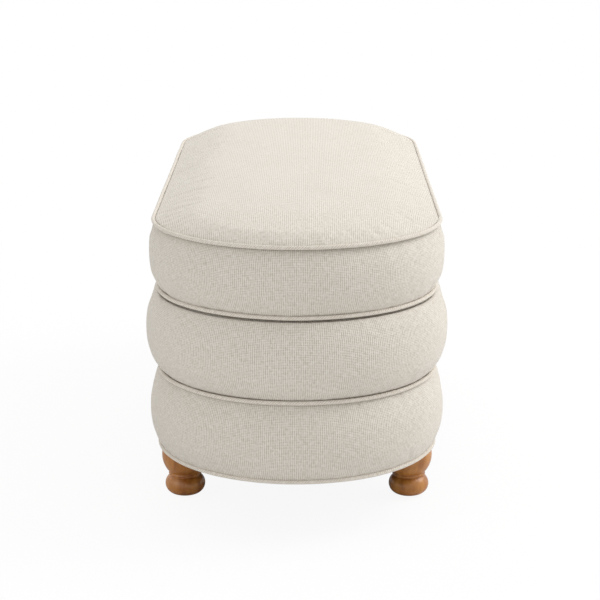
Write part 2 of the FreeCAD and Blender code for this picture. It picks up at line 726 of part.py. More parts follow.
for across in ("pivot_lid_y - bracket_screw_spread", "pivot_lid_y + bracket_screw_spread"):
    circle(sketch, f"{lid_plate_x} - stay_flange / 2", across, "screw_radius + slip")
grow(lid_bracket, "Pad", sketch, Length="stay_plate")
mirrored_pair(lid_bracket, "stay_lid_bracket")


def stay_arm(label, layer, start, along, hole_radii):
    """A flat bar with round ends; along holds the cosine and sine of its slope below the horizontal."""
    cosine, sine = along
    y, z = start
    end_y = f"{y} - stay_arm * {cosine}"
    end_z = f"{z} - stay_arm * {sine}"
    body = new_body(label)
    sketch = new_sketch(body, "YZ_Plane", offset=f"stay_x - {layer} * stay_layer")
    outline(sketch, [
        (f"{y} - stay_width * {sine}", f"{z} + stay_width * {cosine}"),
        (f"{y} + stay_width * {cosine}", f"{z} + stay_width * {sine}", "arc"),
        (f"{y} + stay_width * {sine}", f"{z} - stay_width * {cosine}"),
        (f"{end_y} + stay_width * {sine}", f"{end_z} - stay_width * {cosine}"),
        (f"{end_y} - stay_width * {cosine}", f"{end_z} - stay_width * {sine}", "arc"),
        (f"{end_y} - stay_width * {sine}", f"{end_z} + stay_width * {cosine}"),
    ])
    circle(sketch, y, z, hole_radii[0])
    circle(sketch, end_y, end_z, hole_radii[1])
    grow(body, "Pad", sketch, Length="stay_plate")
    mirrored_pair(body, label)


stay_arm("stay_lower_arm", "1", ("pivot_box_y", "pivot_box_z"), ("high_cos", "high_sin"),
         ("rivet_radius + running_clearance", "rivet_radius + 0.02"))
stay_arm("stay_upper_arm", "2", ("pivot_lid_y", "pivot_lid_z"), ("low_cos", "low_sin"),
         ("rivet_radius + open_pivot_clearance", "rivet_radius + running_clearance"))


def rivet(name, y, z, start, length, loose_end):
    """A rivet along X through two plates; its head at the loose end stands a little off the moving plate."""
    body = new_body(name)
    gap_low, gap_high = ("rivet_slack", "0") if loose_end == "low" else ("0", "rivet_slack")
    sketch = new_sketch(body, "XY_Plane", x=start, y=y, offset=z)
    sketch.AttachmentOffset = FreeCAD.Placement(
        sketch.AttachmentOffset.Base, FreeCAD.Rotation(FreeCAD.Vector(0, 0, 1), -90))
    outline(sketch, [
        ("0", f"-({gap_low}) - rivet_head"), ("rivet_head_radius", f"-({gap_low}) - rivet_head"),
        ("rivet_head_radius", f"-({gap_low})"), ("rivet_radius", f"-({gap_low})"),
        ("rivet_radius", f"{length} + {gap_high}"), ("rivet_head_radius", f"{length} + {gap_high}"),
        ("rivet_head_radius", f"{length} + {gap_high} + rivet_head"), ("0", f"{length} + {gap_high} + rivet_head"),
    ])
    grow(body, "Revolution", sketch, Angle=360.0)
    return body


two_plates = "stay_layer + stay_plate"
pair("stay_box_rivets", rivet("box_rivet", "pivot_box_y", "pivot_box_z", "stay_x - stay_layer", two_plates, "low"))
pair("stay_lid_rivets", rivet("lid_rivet", "pivot_lid_y", "pivot_lid_z", "stay_x - 3 * stay_layer", two_plates,
                              "high"))
mirrored_pair(rivet("stay_knee_rivet", "knee_y", "knee_z", "stay_x - 2 * stay_layer", two_plates, "low"),
              "stay_knee_rivet")

# Pan-head screws of the stay brackets: two into each rear post, two up into the lid board at each end
bracket_screws = []
for level in ("pivot_box_z - bracket_screw_spread", "pivot_box_z + bracket_screw_spread"):
    screw = new_body("box_bracket_screw")
    sketch = new_sketch(screw, "XY_Plane", x="stay_x - stay_flange / 2", y="lining_inner - stay_plate", offset=level)
    outline(sketch, [
        ("0", "-pan_head"), ("pan_head_radius - 0.8", "-pan_head"), ("pan_head_radius", "-pan_head / 2"),
        ("pan_head_radius", "0"), ("screw_radius", "0"), ("screw_radius", "screw_length - 4"),
        ("0", "screw_length - 1"),
    ])
    grow(screw, "Revolution", sketch, Angle=360.0)
    bracket_screws += [screw, mirrored_copy(screw, (1, 0, 0), "box_bracket_screw_left")]
group("stay_box_screws", bracket_screws)

lid_bracket_screws = []
for across in ("pivot_lid_y - bracket_screw_spread", "pivot_lid_y + bracket_screw_spread"):
    screw = turned("lid_bracket_screw", f"{lid_plate_x} - stay_flange / 2", across, [
        ("0", "lid_bottom - stay_plate - pan_head"),
        ("pan_head_radius - 0.8", "lid_bottom - stay_plate - pan_head"),
        ("pan_head_radius", "lid_bottom - stay_plate - pan_head / 2"),
        ("pan_head_radius", "lid_bottom - stay_plate"), ("screw_radius", "lid_bottom - stay_plate"),
        ("screw_radius", "lid_bottom - stay_plate + screw_length - 3"),
        ("0", "lid_bottom - stay_plate + screw_length"),
    ])
    lid_bracket_screws += [screw, mirrored_copy(screw, (1, 0, 0), "lid_bracket_screw_left")]
group("stay_lid_screws", lid_bracket_screws)


# Check every piece, then write one file for each
doc.recompute()
for item in doc.Objects:
    faults = [word for word in ("Invalid", "Error") if word in item.State]
    if faults:
        raise RuntimeError(f"{item.Name} {item.Label}: {faults}")
os.makedirs("parts", exist_ok=True)
for item in nodes:
    if item.Shape.isNull() or not item.Shape.isValid() or not item.Shape.Solids:
        raise RuntimeError(f"{item.Label} has no valid solid")
    item.Shape.exportStep(f"parts/{item.Label}.step")
    box = item.Shape.BoundBox
    print(f"{item.Label:24s} solids {len(item.Shape.Solids):2d}  volume {item.Shape.Volume / 1000:9.2f} cm3"
          f"  x {box.XMin:7.1f} {box.XMax:7.1f}  y {box.YMin:7.1f} {box.YMax:7.1f}  z {box.ZMin:6.1f} {box.ZMax:6.1f}")
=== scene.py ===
import math

import bmesh
import bpy
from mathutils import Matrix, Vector, noise


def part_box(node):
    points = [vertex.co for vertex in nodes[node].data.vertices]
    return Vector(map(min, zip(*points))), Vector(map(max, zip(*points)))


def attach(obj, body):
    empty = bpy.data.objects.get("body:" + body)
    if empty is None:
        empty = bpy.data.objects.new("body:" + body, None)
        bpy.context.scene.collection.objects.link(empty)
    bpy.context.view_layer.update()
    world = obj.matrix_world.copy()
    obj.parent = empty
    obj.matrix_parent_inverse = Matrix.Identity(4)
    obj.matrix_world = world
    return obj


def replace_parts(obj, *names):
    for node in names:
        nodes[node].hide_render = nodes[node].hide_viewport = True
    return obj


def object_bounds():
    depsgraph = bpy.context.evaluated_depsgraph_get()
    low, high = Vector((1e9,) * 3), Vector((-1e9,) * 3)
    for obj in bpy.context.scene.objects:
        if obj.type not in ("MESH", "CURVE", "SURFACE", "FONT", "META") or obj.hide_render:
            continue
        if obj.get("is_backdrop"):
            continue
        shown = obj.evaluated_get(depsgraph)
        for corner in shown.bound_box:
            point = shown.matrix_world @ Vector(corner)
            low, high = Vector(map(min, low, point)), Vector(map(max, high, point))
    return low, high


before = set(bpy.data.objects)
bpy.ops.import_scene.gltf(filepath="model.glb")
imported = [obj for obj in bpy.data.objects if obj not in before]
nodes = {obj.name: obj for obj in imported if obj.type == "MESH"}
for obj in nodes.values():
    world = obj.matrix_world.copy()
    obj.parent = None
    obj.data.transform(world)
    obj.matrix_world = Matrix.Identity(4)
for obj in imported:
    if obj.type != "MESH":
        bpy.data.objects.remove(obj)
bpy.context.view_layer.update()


# Four bun feet, turned from beech: a ball at the floor, a groove, a thin bead and a flared bowl.
# They are stained orange-brown under a satin lacquer. A hanger bolt screws each one up into the base panel.
MM = 0.001
FOOT_OUTLINE = [
    (0, 3), (10.5, 3), (30.5, 17.75, 22.5, 32.5), (23.1, 33.3), (25.2, 35.6, 23.6, 37.1),
    (31.7, 49.3, 34.8, 69.1), (34.8, 87), (32.8, 90), (0, 90),
]
FOOT_FINENESS = 1.6
FOOT_SIDES = 64
STAIN_DEEP = (0.25, 0.074, 0.008, 1)
STAIN_RED = (0.40, 0.148, 0.022, 1)
STAIN_GOLD = (0.53, 0.23, 0.05, 1)
SLANT = Vector((1, math.sqrt(2), math.sqrt(3)))
MORE_THAN_ALL = 200000


def arc(start, by, end):
    """The centre and the signed sweep of the arc that goes from start through by to end."""
    first = by - start
    second = end - start
    cross = 2 * first.cross(second)
    centre = start + Vector((
        second.y * first.length_squared - first.y * second.length_squared,
        first.x * second.length_squared - second.x * first.length_squared,
    )) / cross
    sweep = -(start - centre).angle_signed(end - centre)
    if sweep * cross < 0:
        sweep += math.copysign(2 * math.pi, cross)
    return centre, sweep


def chain(bm, points, fineness):
    """Edges through (reach, height) points in the YZ plane, about fineness long, all in millimetres.
    A third number is how many steps a straight run has. Four numbers are an arc, through the first pair to
    the second. Each vertex keeps how far along the chain it is."""
    tip = bm.verts.new((0, points[0][0] * MM, points[0][1] * MM))
    for point in points[1:]:
        start = tip.co.yz
        if len(point) == 4:
            centre, sweep = arc(start, Vector(point[:2]) * MM, Vector(point[2:]) * MM)
            steps = max(3, round(abs(sweep) * (start - centre).length / MM / fineness))
            turn = dict(cent=(0, *centre), angle=sweep)
        else:
            run = Vector(point[:2]) * MM - start
            steps = point[2] if len(point) == 3 else max(1, round(run.length / MM / fineness))
            turn = dict(cent=(0, 0, 0), angle=0, dvec=(0, *(run / steps)))
        made = bmesh.ops.spin(bm, geom=[tip], axis=(1, 0, 0), steps=steps, **turn)
        tip = next(part for part in made["geom_last"] if isinstance(part, bmesh.types.BMVert))
    walked = bm.verts.layers.float.new("walked")
    bm.verts.ensure_lookup_table()
    for before, vertex in zip(bm.verts[:-1], bm.verts[1:]):
        vertex[walked] = before[walked] + (vertex.co - before.co).length


def rank(part):
    """A number for an edge or a face that its corners alone give, at most three of them."""
    low, middle, *rest = sorted(vertex.index for vertex in part.verts)
    return (low * MORE_THAN_ALL + middle) * MORE_THAN_ALL + (rest[0] if rest else 0)


def in_order(bm):
    """Puts the parts of a form in an order that their places give. Blender's own order changes from run to
    run, and the way that a cover fills would change with it."""
    walked = bm.verts.layers.float["walked"]
    bm.verts.sort(key=lambda vertex: vertex.co.dot(SLANT) + vertex[walked])
    bm.verts.index_update()
    bm.edges.sort(key=rank)
    bm.faces.sort(key=rank)


def closed(bm):
    """Merges what meets, so that the form has no seam or pole left open, and turns its faces outwards."""
    in_order(bm)
    bmesh.ops.remove_doubles(bm, verts=bm.verts, dist=0.02 * MM)
    bmesh.ops.recalc_face_normals(bm, faces=bm.faces)
    in_order(bm)


def piece(name, bm, material, body, slot, *stands_for):
    """The finished piece: smooth, dressed, riding on its body, and shown in place of its CAD nodes."""
    for face in bm.faces:
        face.smooth = True
    mesh = bpy.data.meshes.new(name)
    bm.to_mesh(mesh)
    bm.free()
    mesh.materials.append(material)
    made = bpy.data.objects.new(name, mesh)
    bpy.context.scene.collection.objects.link(made)
    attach(made, body)
    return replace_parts(made, *stands_for)


class Wire:
    """One socket of a finish. Sums on it add Math nodes, and node() adds any other node."""

    def __init__(self, socket):
        self.socket = socket

    def node(self, kind, settings, sockets, out=0):
        tree = self.socket.id_data
        made = tree.nodes.new("ShaderNode" + kind)
        for name, value in settings.items():
            setattr(made, name, value)
        for name, value in sockets.items():
            if isinstance(value, Wire):
                tree.links.new(value.socket, made.inputs[name])
            else:
                made.inputs[name].default_value = value
        return Wire(made.outputs[out])

    def sum(self, operation, *others):
        return self.node("Math", {"operation": operation}, dict(enumerate((self, *others))))

    def __add__(self, other):
        return self.sum("ADD", other)

    def __sub__(self, other):
        return self.sum("SUBTRACT", other)

    def __rsub__(self, other):
        return self.sum("MULTIPLY_ADD", -1.0, other)

    def __mul__(self, other):
        return self.sum("MULTIPLY", other)

    __radd__, __rmul__ = __add__, __mul__


def finish(name, **constants):
    """A material with its shader's fixed values set, its shader, and the piece's own coordinates."""
    material = bpy.data.materials.new(name)
    material.use_nodes = True
    shader = material.node_tree.nodes["Principled BSDF"]
    for socket, value in constants.items():
        shader.inputs[socket.replace("_", " ")].default_value = value
    place = material.node_tree.nodes.new("ShaderNodeTexCoord").outputs["Object"]
    return material, shader, Wire(place)


def stretched(place, x, y, z):
    """Coordinates in which a pattern is that many millimetres long each way."""
    repeats = (1 / MM / x, 1 / MM / y, 1 / MM / z)
    return place.node("VectorMath", {"operation": "MULTIPLY"}, {0: place, 1: repeats})


def grain(vector, detail=3.0, rough=0.5):
    return vector.node("TexNoise", {}, {"Vector": vector, "Scale": 1.0, "Detail": detail, "Roughness": rough})


def blended(mask, colour, other):
    return mask.node("Mix", {"data_type": "RGBA"}, {0: mask, 6: colour, 7: other}, out=2)


def between(wire, low, high):
    """Runs from 0 to 1 as the wire goes from low to high."""
    return wire.node("MapRange", {}, {"Value": wire, "From Min": low, "From Max": high})


def ramp(wire, low, middle, high):
    """A colour that goes through three stops, each a value of the wire and its colour."""
    made = wire.node("ValToRGB", {}, {"Fac": wire})
    stops = made.socket.node.color_ramp.elements
    stops.new(middle[0])
    for stop, (value, colour) in zip(stops, (low, middle, high)):
        stop.position = value
        stop.color = colour
    return made


def relief(height, depth):
    """A surface that stands up by depth millimetres where the height is 1."""
    return height.node("Bump", {}, {"Height": height, "Distance": depth * MM, "Strength": 1.0})


def feed(shader, **surface):
    for socket, wire in surface.items():
        shader.id_data.links.new(wire.socket, shader.inputs[socket.replace("_", " ")])


turned_wood, shader, place = finish("turned_wood", Coat_Roughness=0.18, Specular_IOR_Level=0.5)
rings = grain(stretched(place, 15, 15, 70), 4.0, 0.6)
pores = grain(stretched(place, 0.8, 0.8, 14), 2.0)
open_pores = between(pores, 0.58, 0.75)
tone = ramp(rings, (0.3, STAIN_DEEP), (0.5, STAIN_RED), (0.72, STAIN_GOLD))
feed(shader, Base_Color=blended(open_pores * 0.45, tone, STAIN_DEEP), Coat_Weight=0.4 - 0.25 * pores,
     Roughness=0.3 + 0.2 * rings + 0.1 * open_pores, Normal=relief(open_pores * -1.0 + rings * 0.4, 0.06))

for corner in ("front_left", "back_left", "front_right", "back_right"):
    low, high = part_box("foot_" + corner)
    bm = bmesh.new()
    chain(bm, FOOT_OUTLINE, FOOT_FINENESS)
    bmesh.ops.spin(bm, geom=bm.verts[:] + bm.edges[:], cent=(0, 0, 0), axis=(0, 0, 1), angle=2 * math.pi,
                   steps=FOOT_SIDES, use_merge=True)
    closed(bm)
    bmesh.ops.translate(bm, verts=bm.verts, vec=((low.x + high.x) / 2, (low.y + high.y) / 2, 0))
    piece("turned_foot_" + corner, bm, turned_wood, "box", "turned_wood", "foot_" + corner)


# Nylon glides pressed under the feet, and the zinc-plated bolts and tee nuts that hold the feet to the base.
# The glides are dark brown and scuffed underneath from being slid over floors.
NYLON_DARK = (0.016, 0.011, 0.008, 1)
NYLON_SCUFFED = (0.06, 0.045, 0.035, 1)
ZINC_DULL = (0.46, 0.45, 0.43, 1)
ZINC_BRIGHT = (0.66, 0.65, 0.62, 1)

nylon, shader, place = finish("nylon", Specular_IOR_Level=0.4)
scuffs = grain(stretched(place, 1.5, 6, 3), 4.0, 0.6)
feed(shader, Base_Color=blended(scuffs, NYLON_DARK, NYLON_SCUFFED), Roughness=0.35 + 0.4 * scuffs,
     Normal=relief(scuffs, 0.05))

bright_steel, shader, place = finish("bright_steel", Metallic=1.0)
drawn = grain(stretched(place, 30, 0.7, 0.7), 3.0)
bloom = grain(stretched(place, 18, 18, 18), 3.0)
feed(shader, Base_Color=blended(bloom, ZINC_DULL, ZINC_BRIGHT), Roughness=0.2 + 0.18 * drawn + 0.12 * bloom,
     Normal=relief(drawn, 0.02))


def dress(material, *names):
    """Gives CAD nodes that stay as they are their finish."""
    for name in names:
        nodes[name].data.materials.clear()
        nodes[name].data.materials.append(material)


dress(nylon, "glides")
dress(bright_steel, "hanger_bolts", "tee_nuts")


# The frame: a base panel and a rim of birch plywood, straight boards, bent ends, corner posts and a thin wrap
# of bending plywood, glued and stapled. It shows only where the box is open and before it is covered.
PLYWOOD_DARK = (0.40, 0.245, 0.12, 1)
PLYWOOD_PALE = (0.68, 0.50, 0.30, 1)

plywood, shader, place = finish("plywood", Specular_IOR_Level=0.35)
figure = grain(stretched(place, 160, 9, 9), 4.0, 0.6)
fibre = grain(stretched(place, 22, 0.6, 0.6), 2.0)
feed(shader, Base_Color=blended(figure * 0.75 + fibre * 0.25, PLYWOOD_DARK, PLYWOOD_PALE),
     Roughness=0.5 + 0.25 * fibre, Normal=relief(fibre, 0.08))
dress(plywood, "base_panel", "front_board", "back_board", "end_wall_left", "end_wall_right", "corner_posts",
      "rim", "outer_wrap", "lid_board")


# The dust cover: black spun cloth, drawn flat over the underside of the base and stapled along its edge.
# The feet are screwed on through it.
HALF_STRAIGHT = 332.5
DUST_COVER = [(0, 90.15), (204.6, 90.15), (204.6, 90.9), (0, 90.9)]
DUST_BLACK = (0.008, 0.008, 0.009, 1)
DUST_GREY = (0.035, 0.034, 0.033, 1)


def carry_round(bm, along=110, round_end=112):
    """Carries a chain of edges round a quarter of the bench's plan, then mirrors it to the front and to the
    other end. The steps are those of a whole straight side and of a whole round end."""
    straight = bmesh.ops.spin(bm, geom=bm.verts[:] + bm.edges[:], cent=(0, 0, 0), axis=(0, 0, 1), angle=0,
                              dvec=(2 * HALF_STRAIGHT * MM / along, 0, 0), steps=along // 2)
    bmesh.ops.spin(bm, geom=straight["geom_last"], cent=(HALF_STRAIGHT * MM, 0, 0), axis=(0, 0, 1),
                   angle=-math.pi / 2, steps=round_end // 2)
    for axis in "YX":
        bmesh.ops.mirror(bm, geom=bm.verts[:] + bm.edges[:] + bm.faces[:], axis=axis, merge_dist=0.02 * MM)
    closed(bm)


dust_cloth, shader, place = finish("dust_cloth", Specular_IOR_Level=0.15)
spun = grain(stretched(place, 1.2, 1.2, 1.2), 4.0, 0.7)
feed(shader, Base_Color=blended(spun, DUST_BLACK, DUST_GREY), Roughness=0.8 + 0.2 * spun,
     Normal=relief(spun, 0.15))
bm = bmesh.new()
chain(bm, DUST_COVER, 14)
carry_round(bm, 40, 48)
dust_cover = piece("dust_cover_cloth", bm, dust_cloth, "box", "dust_cloth", "dust_cover")


# The storage box is lined with a plain cotton cloth, glued to the walls and turned out over the rim, with a
# cloth-covered floor panel dropped in. The underside of the lid has the same cloth.
STORAGE_LINING = [
    (171.8, 106.2), (171.8, 326.6), (179.8, 326.6), (179.8, 327.8), (173, 327.8),
    (171.3, 327.1, 170.6, 325.4), (170.6, 106.2), (171.8, 106.2),
]
LID_LINING = [(0, 331.1), (179.2, 331.1), (179.8, 331.7), (179.2, 332.3), (0, 332.3)]
COTTON_DARK = (0.33, 0.28, 0.215, 1)
COTTON_PALE = (0.62, 0.56, 0.47, 1)

lining_cloth, shader, place = finish("lining_cloth", Specular_IOR_Level=0.2, Sheen_Weight=0.12,
                                     Sheen_Roughness=0.5)
yarns = grain(stretched(place, 0.9, 0.9, 9), 3.0) * 0.5 + grain(stretched(place, 9, 9, 0.9), 3.0) * 0.5
patchy = grain(stretched(place, 60, 60, 60), 3.0)
feed(shader, Base_Color=blended(yarns * 0.7 + patchy * 0.3, COTTON_DARK, COTTON_PALE),
     Roughness=0.8 + 0.18 * yarns, Normal=relief(yarns, 0.2))
dress(lining_cloth, "floor_panel")

bm = bmesh.new()
chain(bm, STORAGE_LINING, 9)
carry_round(bm, 60, 72)
storage_lining = piece("storage_lining_cloth", bm, lining_cloth, "box", "lining_cloth", "storage_lining")

bm = bmesh.new()
chain(bm, LID_LINING, 12)
carry_round(bm, 60, 72)
lid_lining = piece("lid_lining_cloth", bm, lining_cloth, "lid", "lining_cloth", "lid_lining")


# The two rolls that wrap the box: foam strips covered in oatmeal linen-look cloth, sewn to the piping above
# and below and pulled tight, so that each one swells out between its seams. The upper one turns in over the
# rim of the box.
LOWER_ROLL = [
    (198.6, 92.2), (205, 92.2), (212.2, 104.1, 215.2, 118), (218.6, 151, 215.2, 184),
    (209.9, 198.4, 201.3, 210.5), (198.6, 210.5), (198.6, 92.2, 5),
]
MIDDLE_ROLL = [
    (198.6, 211.5), (202.8, 211.5), (212.7, 223.4, 218.8, 238), (223, 270, 218.8, 302),
    (216, 318.2, 207.6, 328.3), (203.8, 326.4), (200.2, 325.2), (198.9, 327.2), (196, 327.9),
    (180.2, 327.9), (180.2, 326.7), (198.6, 326.7), (198.6, 211.5, 5),
]
ROLL_FINENESS = 5.5
SEWN_ROUND = 0.21
CLOTH_PALE = (0.74, 0.70, 0.64, 1)
CLOTH_OATMEAL = (0.645, 0.60, 0.53, 1)
CLOTH_DARK = (0.50, 0.45, 0.375, 1)
MOST_SWELL = 4
FILLING_FRAMES = 20
DRAW_DEPTH = 0.7
DRAW_LENGTH = 17
DRAW_FADE = 11
DRAW_START = 4
DENT_LENGTH = 85
DENT_SHARE = 0.9


def run_round(x, y, back):
    """How far round the plan a point lies from the tip of the right-hand end, in metres, with the front
    counted below zero."""
    half = HALF_STRAIGHT * MM
    if x > half:
        run = SEWN_ROUND * math.atan2(abs(y), x - half)
    else:
        run = SEWN_ROUND * math.pi / 2 + half - max(x, -half)
    if x < -half:
        run += SEWN_ROUND * math.atan2(-half - x, abs(y))
    return run if back else -run


def lay_weave(bm, threads):
    """Lays the cloth's threads on the piece. The function threads gives both thread directions from a point's
    place, how far round the plan it lies, and how far along the section."""
    weave = bm.loops.layers.uv.new("weave")
    walked = bm.verts.layers.float["walked"]
    for face in bm.faces:
        back = face.calc_center_median().y > 0
        for corner in face.loops:
            spot = corner.vert.co
            corner[weave].uv = threads(spot, run_round(spot.x, spot.y, back), corner.vert[walked])


def upright(spot, run, up):
    return run, up


def stuff(cover, low_seam, high_seam, board):
    """Fills a sewn cover: the cloth swells under its filling, and stays put below the low seam, above the
    high one and within the reach of the board that it lies on, all in millimetres."""
    held = cover.vertex_groups.new(name="sewn")
    for vertex in cover.data.vertices:
        spot = vertex.co / MM
        reach = math.hypot(max(abs(spot.x) - HALF_STRAIGHT, 0), spot.y)
        if spot.z < low_seam or spot.z > high_seam or reach < board:
            held.add([vertex.index], 1.0, "ADD")
    filling = cover.modifiers.new("filling", "CLOTH")
    cloth = filling.settings
    cloth.quality = 4
    cloth.mass = 0.25
    cloth.tension_stiffness = 12
    cloth.compression_stiffness = 12
    cloth.shear_stiffness = 6
    cloth.bending_stiffness = 0.4
    cloth.vertex_group_mass = "sewn"
    cloth.use_pressure = True
    cloth.uniform_pressure_force = 4
    cloth.shrink_min = -0.012
    cloth.effector_weights.gravity = 0
    filling.collision_settings.use_collision = False
    for step in range(FILLING_FRAMES):
        bpy.context.scene.frame_set(step + 1)
    filled = bpy.data.meshes.new_from_object(cover.evaluated_get(bpy.context.evaluated_depsgraph_get()))
    moved = [vertex.co.copy() for vertex in filled.vertices]
    bpy.data.meshes.remove(filled)
    cover.modifiers.remove(filling)
    cover.vertex_groups.clear()
    bpy.context.scene.frame_set(1)
    for vertex, spot in zip(cover.data.vertices, moved):
        shift = spot - vertex.co
        vertex.co += shift * min(1.0, MOST_SWELL * MM / max(shift.length, 1e-9))


def pucker(cover, *seams):
    """Draws the cloth in unevenly along its seams, whose heights are in millimetres, and dents it a little
    between them."""
    outwards = [vertex.normal.copy() for vertex in cover.data.vertices]
    for vertex, outward in zip(cover.data.vertices, outwards):
        spot = vertex.co / MM
        near = min(abs(spot.z - seam) for seam in seams)
        if near > 0.5:
            drawn = noise.noise(Vector((spot.x, spot.y, 0)) / DRAW_LENGTH)
            drawn *= math.exp(-near / DRAW_FADE) * min(1.0, near / DRAW_START)
            dented = noise.noise(spot / DENT_LENGTH) * DENT_SHARE
            vertex.co += outward * (drawn + dented) * DRAW_DEPTH * MM


def smooth_cloth(cover):
    rounding = cover.modifiers.new("rounding", "SUBSURF")
    rounding.levels = rounding.render_levels = 1


def linen(name, pale, oatmeal, dark):
    """Plain-weave upholstery linen: thick and thin yarns both ways, a soft nap, and a few darker flecks."""
    material, shader, place = finish(name, Specular_IOR_Level=0.2, Sheen_Weight=0.18, Sheen_Roughness=0.45)
    threads = place.node("UVMap", {"uv_map": "weave"}, {})
    sway = grain(stretched(threads, 14, 14, 14), 2.0)
    both_ways = sway.node("CombineXYZ", {}, {0: sway, 1: sway})
    waver = threads.node("VectorMath", {"operation": "MULTIPLY_ADD"},
                         {0: both_ways, 1: (1.1 * MM, 1.1 * MM, 0), 2: threads})
    standing_yarn = grain(stretched(waver, 1.7, 7, 10), 2.0, 0.55)
    lying_yarn = grain(stretched(waver, 9, 1.7, 10), 2.0, 0.55)
    warp = waver.node("SeparateXYZ", {}, {0: waver}) * (2 * math.pi / MM / 2.9)
    weft = waver.node("SeparateXYZ", {}, {0: waver}, out=1) * (2 * math.pi / MM / 2.3)
    patches = grain(stretched(threads, 30, 22, 10), 2.0)
    ribs = warp.sum("COSINE") * patches + weft.sum("COSINE") * (1 - patches) * 0.7
    crossing = warp.sum("SINE") * weft.sum("SINE")
    flecks = between(grain(stretched(waver, 1.6, 5, 10), 1.0), 0.66, 0.8)
    mottle = grain(stretched(place, 70, 70, 70), 3.0)
    yarns = (standing_yarn - 0.5) * 0.8 + (lying_yarn - 0.5) * 0.55
    light = yarns + ribs * 0.34 + (mottle - 0.5) * 0.1 + 0.47
    tone = ramp(light, (0.26, dark), (0.46, oatmeal), (0.68, pale))
    height = ribs * 0.5 + crossing * 0.25 + standing_yarn * 0.5 + lying_yarn * 0.4
    feed(shader, Base_Color=blended(flecks * 0.25, tone, dark), Roughness=0.86 + 0.08 * crossing,
         Normal=relief(height, 0.3))
    return material


def linen_cover(name, section, fineness, threads, body, *stands_for):
    """A closed cover of the linen: its section carried round the plan, with the threads laid on it."""
    bm = bmesh.new()
    chain(bm, section, fineness)
    carry_round(bm)
    lay_weave(bm, threads)
    return piece(name, bm, linen_cloth, body, "linen", *stands_for)


linen_cloth = linen("linen", CLOTH_PALE, CLOTH_OATMEAL, CLOTH_DARK)

lower_roll = linen_cover("lower_roll", LOWER_ROLL, ROLL_FINENESS, upright, "box", "lower_roll_cover",
                         "lower_roll_foam")
stuff(lower_roll, 92.5, 210, 200)
pucker(lower_roll, 92, 210.5)
smooth_cloth(lower_roll)

middle_roll = linen_cover("middle_roll", MIDDLE_ROLL, ROLL_FINENESS, upright, "box", "middle_roll_cover",
                          "middle_roll_foam")
stuff(middle_roll, 212, 325, 200)
pucker(middle_roll, 211.5, 327.9)
smooth_cloth(middle_roll)


# Piping at the base and between the rolls: a cotton cord in a strip of the same cloth cut on the bias,
# sewn into the seam with a flange that the rolls hide.
WELT = 3.1
WELT_FINENESS = 1.7
# The piping's oatmeal and dark are paler than the rolls' cloth, though it is the same cloth: painted light
# that the round cord catches.
LIT_WELT_OATMEAL = (0.70, 0.645, 0.565, 1)
LIT_WELT_DARK = (0.53, 0.465, 0.38, 1)
LONG_WANDER, LONG_WANDER_DEPTH = 90, 0.4
SHORT_WANDER, SHORT_WANDER_DEPTH = 22, 0.176
WANDER_SEED = 1


def on_the_bias(spot, run, up):
    return (run + up) * math.sqrt(0.5), (run - up) * math.sqrt(0.5)


def piping(name, reach, height, body, stands_for):
    """A covered cord round the whole plan, which wanders a little as a sewn one does."""
    bm = bmesh.new()
    chain(bm, [
        (reach - WELT, height), (reach, height + WELT, reach + WELT, height),
        (reach, height - WELT, reach - WELT, height),
    ], WELT_FINENESS)
    carry_round(bm, 120, 124)
    lay_weave(bm, on_the_bias)
    for vertex in bm.verts:
        spot = Vector((vertex.co.x / MM, vertex.co.y / MM, height))
        wander = noise.noise_vector(spot / LONG_WANDER) * LONG_WANDER_DEPTH
        wander += noise.noise_vector(spot / SHORT_WANDER) * SHORT_WANDER_DEPTH
        vertex.co += wander * MM
    smooth_cloth(piece(name, bm, lit_piping_cloth, body, "piping", stands_for))


noise.seed_set(WANDER_SEED)
# A paler copy of the linen for the cords: painted light on their rounded faces.
lit_piping_cloth = linen("piping", CLOTH_PALE, LIT_WELT_OATMEAL, LIT_WELT_DARK)
piping("base_piping", 207.9, 93.7, "box", "base_welt")
piping("middle_piping", 206.6, 210.2, "box", "middle_welt")


# The lid: a plywood board with a foam block, boxed in by a strip of the linen and covered by a crowned top
# panel. Both are sewn to the top piping. The strip turns in under the board, and the bottom piping runs
# along that edge.
LID_BOXING = [
    (194.4, 431), (194.4, 332.4, 5), (180.2, 332.4), (180.2, 331.2), (200.5, 331.2),
    (209.6, 342.7, 214.3, 357), (218, 384, 216, 411), (213.5, 422.4, 206.6, 433.2), (196, 433.2),
    (194.4, 431),
]
LID_TOP = [
    (0, 348), (193.5, 348, 6), (193.5, 434, 5), (196, 435.4), (208.6, 435.6), (210, 436.8),
    (196.4, 445.2, 180, 450.2), (140, 458.6, 100, 462.9), (65, 465.2, 30, 465.8), (0, 465.8),
]
LID_TOP_FINENESS = 6


def straight_across(spot, run, up):
    return spot.y, spot.x


lid_boxing = linen_cover("lid_boxing", LID_BOXING, ROLL_FINENESS, upright, "lid", "lid_boxing_cover")
stuff(lid_boxing, 332.5, 432.9, 197)
pucker(lid_boxing, 331.2, 433.2)
smooth_cloth(lid_boxing)

lid_top = linen_cover("lid_top", LID_TOP, LID_TOP_FINENESS, straight_across, "lid", "lid_top_cover",
                      "lid_foam")
stuff(lid_top, 437.2, math.inf, 0)
pucker(lid_top, 435.6, 436.8)
smooth_cloth(lid_top)

piping("lid_bottom_piping", 206.2, 333.6, "lid", "lid_bottom_welt")
piping("lid_top_piping", 212.4, 435.2, "lid", "lid_top_welt")


# Four bumpers of clouded clear rubber, stuck on the rim at the front and at the ends.
# The lid comes down on them, which leaves the thin gap under its lower piping.
RUBBER_DARK = (0.20, 0.19, 0.17, 1)
RUBBER_PALE = (0.36, 0.345, 0.32, 1)

